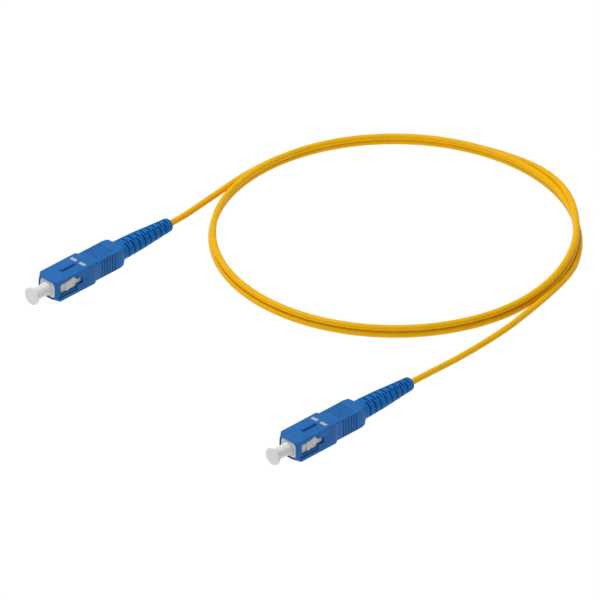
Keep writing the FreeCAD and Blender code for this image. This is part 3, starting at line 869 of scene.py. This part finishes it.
def coil_place(turned):
    """(radius offset, height) in mm of the cable's middle after that many degrees of coil.

    The first turn starts outside the stack and climbs on top of it. Where the last turn moves out
    to leave the coil, the turns above it settle by one strand.
    """
    settled = ease(turned % 360, *SETTLE)
    if turned < 360:
        angle = math.radians(BESIDE_ANGLE + (90 - BESIDE_ANGLE) * ease(turned, *CLIMB))
        reach = BESIDE_REACH + (ABOVE_REACH - BESIDE_REACH) * ease(turned, *TUCK_IN)
        height = CABLE_RADIUS + STRAND_RISE * (1 - settled) + reach * math.sin(angle)
        return -STRAND_LEAN + reach * math.cos(angle), height
    if turned < 720:
        return STRAND_LEAN * (2 * settled - 1), CABLE_RADIUS + STRAND_RISE * (1 - settled)
    leaving = ease(turned - 720, *LEAVE)
    return STRAND_LEAN + (LEAVING_REACH - STRAND_LEAN) * leaving, CABLE_RADIUS


def cord_points(sizes):
    """Every control point of the cable, from boot a round the coil to boot b, in metres."""
    tip_a = plug_origin("a") + Vector((BOOT_TIP * MM, 0, 0))
    tip_b = plug_origin("b") + Vector((BOOT_TIP * MM, 0, 0))
    middle = Vector((sizes.coil_x, sizes.coil_y, 0))
    step = 360.0 / sizes.points_per_turn
    swell = 1 / math.cos(math.radians(step / 2))
    coil = []
    for i in range(int(COIL_DEGREES // step) + 1):
        turned = i * step
        offset, height = coil_place(turned)
        angle = math.radians(FIRST_ANGLE - turned)
        radius = (sizes.coil_radius + offset * MM) * swell
        coil.append(middle + Vector((radius * math.cos(angle), radius * math.sin(angle), height * MM)))
    tail_a = [
        tip_a,
        tip_a + Vector((0.0060, 0, 0)),
        tip_a + Vector((0.01605, 0.00211, -0.00081)),
        tip_a + Vector((0.02777, 0.00458, -0.00175)),
    ]
    tail_b = [
        middle + Vector((-0.0086, -0.0607, 0.0010)),
        middle + Vector((-0.0205, -0.0620, 0.0010)),
        middle + Vector((-0.0325, -0.0627, 0.0010)),
        middle + Vector((-0.0435, -0.0638, 0.0020)),
        tip_b + Vector((0.0070, 0, 0)),
        tip_b,
    ]
    return tail_a + coil + tail_b


def build_cord(sizes, material):
    """The cable as one smooth curve with a round section."""
    curve = bpy.data.curves.new("cable", "CURVE")
    curve.dimensions = "3D"
    curve.bevel_depth = CABLE_RADIUS * MM
    curve.bevel_resolution = 6
    curve.use_fill_caps = True
    curve.resolution_u = 8
    points = cord_points(sizes)
    spline = curve.splines.new("NURBS")
    spline.points.add(len(points) - 1)
    for place, point in zip(spline.points, points):
        place.co = (*point, 1.0)
    spline.order_u = 3
    spline.use_endpoint_u = True
    curve.materials.append(material)
    cable = bpy.data.objects.new("cable", curve)
    bpy.context.scene.collection.objects.link(cable)
    return cable


# ---------------------------------------------------------------- operators


class PATCHCORD_OT_housings(Operator):
    """Build the two outer housings"""
    bl_idname = "patchcord.housings"
    bl_label = "Outer Housings"

    def execute(self, context):
        finishes = context.scene.patch_finishes
        material = moulded_plastic("blue_moulded_plastic", finishes.housing_blue[:])
        body = build_housing(context.scene.patch_housing)
        finish_pair(body, "housing_shell", "outer_housing", "housing_{end}",
                    material)
        return {"FINISHED"}


class PATCHCORD_OT_frames(Operator):
    """Build the two white plug frames"""
    bl_idname = "patchcord.frames"
    bl_label = "Plug Frames"

    def execute(self, context):
        finishes = context.scene.patch_finishes
        material = moulded_plastic("white_moulded_plastic", finishes.frame_white[:], rough=0.45)
        finish_pair(build_frame(), "plug_body", "plug_frame", "cord", material)
        return {"FINISHED"}


class PATCHCORD_OT_boots(Operator):
    """Build the two slotted boots"""
    bl_idname = "patchcord.boots"
    bl_label = "Strain Relief Boots"

    def execute(self, context):
        finishes = context.scene.patch_finishes
        material = soft_plastic("blue_soft_plastic", finishes.boot_blue[:])
        body = build_boot(context.scene.patch_boot)
        finish_pair(body, "boot", "strain_relief_boot", "cord", material)
        return {"FINISHED"}


class PATCHCORD_OT_caps(Operator):
    """Build the two dust caps"""
    bl_idname = "patchcord.caps"
    bl_label = "Dust Caps"

    def execute(self, context):
        finishes = context.scene.patch_finishes
        material = milky_plastic("milky_plastic", finishes.cap_milk[:])
        finish_pair(build_cap(), "cap", "dust_cap", "cap_{end}", material,
                    sharp_angle=50)
        return {"FINISHED"}


class PATCHCORD_OT_inner_parts(Operator):
    """Give the pieces inside the plugs their finishes"""
    bl_idname = "patchcord.inner_parts"
    bl_label = "Inner Parts"

    def execute(self, context):
        finishes = context.scene.patch_finishes
        plated = turned_metal("nickel_plate", (0.62, 0.60, 0.56))
        jacket = cable_jacket("jacket_inside_boot", finishes.jacket_yellow[:])
        materials = {
            "position_marks": moulded_plastic("printed_dash", finishes.mark_grey[:], rough=0.6),
            "ferrule": polished_ceramic("zirconia", (0.86, 0.85, 0.80)),
            "bare_fibre": polished_ceramic("silica", (0.7, 0.76, 0.8)),
            "tight_buffer": moulded_plastic("white_buffer", (0.8, 0.8, 0.77), rough=0.35),
            "ferrule_flange": plated,
            "rear_body": plated,
            "guide_tube": moulded_plastic("clear_white_tube", (0.75, 0.76, 0.75), rough=0.3),
            "aramid_yarn": yarn("aramid_yarn", (0.75, 0.55, 0.12)),
            "crimp_sleeve": turned_metal("crimp_metal", (0.66, 0.64, 0.6), 0.33),
            "cable_end": jacket,
        }
        for node, material in materials.items():
            for end in ENDS:
                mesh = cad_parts[f"{node}_{end}"].data
                mesh.materials.clear()
                mesh.materials.append(material)
        return {"FINISHED"}


class PATCHCORD_OT_springs(Operator):
    """Make the springs that push the ferrules forward"""
    bl_idname = "patchcord.springs"
    bl_label = "Springs"

    def execute(self, context):
        wire = turned_metal("spring_wire", (0.5, 0.5, 0.5), 0.35)
        for end in ENDS:
            build_spring(end, wire)
        return {"FINISHED"}


class PATCHCORD_OT_cord(Operator):
    """Build the cable from boot to boot"""
    bl_idname = "patchcord.cord"
    bl_label = "Cable"

    def execute(self, context):
        sizes = context.scene.patch_cord
        material = cable_jacket("yellow_jacket", context.scene.patch_finishes.jacket_yellow[:])
        cable = build_cord(sizes, material)
        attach(cable, "cord")
        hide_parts("cord_tail_a", "cord_coil", "cord_tail_b")
        return {"FINISHED"}


class PATCHCORD_OT_stage(Operator):
    """Set up the camera, the table and the lights"""
    bl_idname = "patchcord.stage"
    bl_label = "Stage"

    def execute(self, context):
        sizes = context.scene.patch_stage
        scene = context.scene
        scene.view_settings.view_transform = "Standard"

        bm = bmesh.new()
        bmesh.ops.create_grid(bm, x_segments=8, y_segments=8, size=3.0)
        table = scratch_object(bm, "table")
        just_under_the_part = -0.00002
        table.location.z = just_under_the_part
        table.data.materials.append(glowing_white("light_table"))

        world = bpy.data.worlds.new("studio")
        scene.world = world
        world.use_nodes = True
        world.node_tree.nodes["Background"].inputs["Color"].default_value = (1, 1, 1, 1)
        world.node_tree.nodes["Background"].inputs["Strength"].default_value = 0.35

        for name, place, power in (("key", (0.1, 0.5, 1.6), 18.0), ("fill", (-1.5, 0.3, 0.9), 5.0)):
            light = bpy.data.lights.new(name, "AREA")
            light.shape = "DISK"
            light.size = 0.9
            light.energy = power
            lamp = bpy.data.objects.new(name, light)
            lamp.location = place
            lamp.rotation_euler = (-Vector(place)).to_track_quat("-Z", "Y").to_euler()
            scene.collection.objects.link(lamp)

        level = math.cos(sizes.elevation)
        back = Vector((math.sin(sizes.azimuth) * level, -math.cos(sizes.azimuth) * level,
                       math.sin(sizes.elevation)))
        lens = bpy.data.cameras.new("camera")
        lens.lens = sizes.lens
        lens.clip_start = 0.1
        lens.clip_end = 30.0
        distance = sizes.frame_width * lens.lens / lens.sensor_width
        camera = bpy.data.objects.new("camera", lens)
        camera.location = Vector(sizes.aim) + back * distance
        camera.rotation_euler = (-back).to_track_quat("-Z", "Y").to_euler()
        scene.collection.objects.link(camera)
        scene.camera = camera
        return {"FINISHED"}


class PATCHCORD_PT_panel(Panel):
    """Lists the pieces of the patch cord"""
    bl_label = "Patch Cord"
    bl_idname = "PATCHCORD_PT_panel"
    bl_space_type = "VIEW_3D"
    bl_region_type = "UI"
    bl_category = "Patch Cord"

    def draw(self, context):
        for operator in OPERATORS:
            self.layout.operator(operator.bl_idname)


OPERATORS = (
    PATCHCORD_OT_stage,
    PATCHCORD_OT_cord,
    PATCHCORD_OT_housings,
    PATCHCORD_OT_frames,
    PATCHCORD_OT_boots,
    PATCHCORD_OT_caps,
    PATCHCORD_OT_springs,
    PATCHCORD_OT_inner_parts,
)
GROUPS = {
    "patch_housing": HousingSizes,
    "patch_boot": BootSizes,
    "patch_cord": CordSizes,
    "patch_finishes": Finishes,
    "patch_stage": StageSizes,
}


def register():
    """Makes the values, the operators and the panel known."""
    for group in GROUPS.values():
        bpy.utils.register_class(group)
    for operator in OPERATORS:
        bpy.utils.register_class(operator)
    bpy.utils.register_class(PATCHCORD_PT_panel)
    for name, group in GROUPS.items():
        setattr(bpy.types.Scene, name, PointerProperty(type=group))


def unregister():
    """Takes away what register() added."""
    for name in GROUPS:
        delattr(bpy.types.Scene, name)
    bpy.utils.unregister_class(PATCHCORD_PT_panel)
    for operator in reversed(OPERATORS):
        bpy.utils.unregister_class(operator)
    for group in reversed(list(GROUPS.values())):
        bpy.utils.unregister_class(group)


def main():
    """Builds the whole model."""
    register()
    bpy.ops.patchcord.stage()
    bpy.ops.patchcord.cord()
    bpy.ops.patchcord.housings()
    bpy.ops.patchcord.frames()
    bpy.ops.patchcord.boots()
    bpy.ops.patchcord.caps()
    bpy.ops.patchcord.springs()
    bpy.ops.patchcord.inner_parts()


if __name__ == "__main__":
    main()
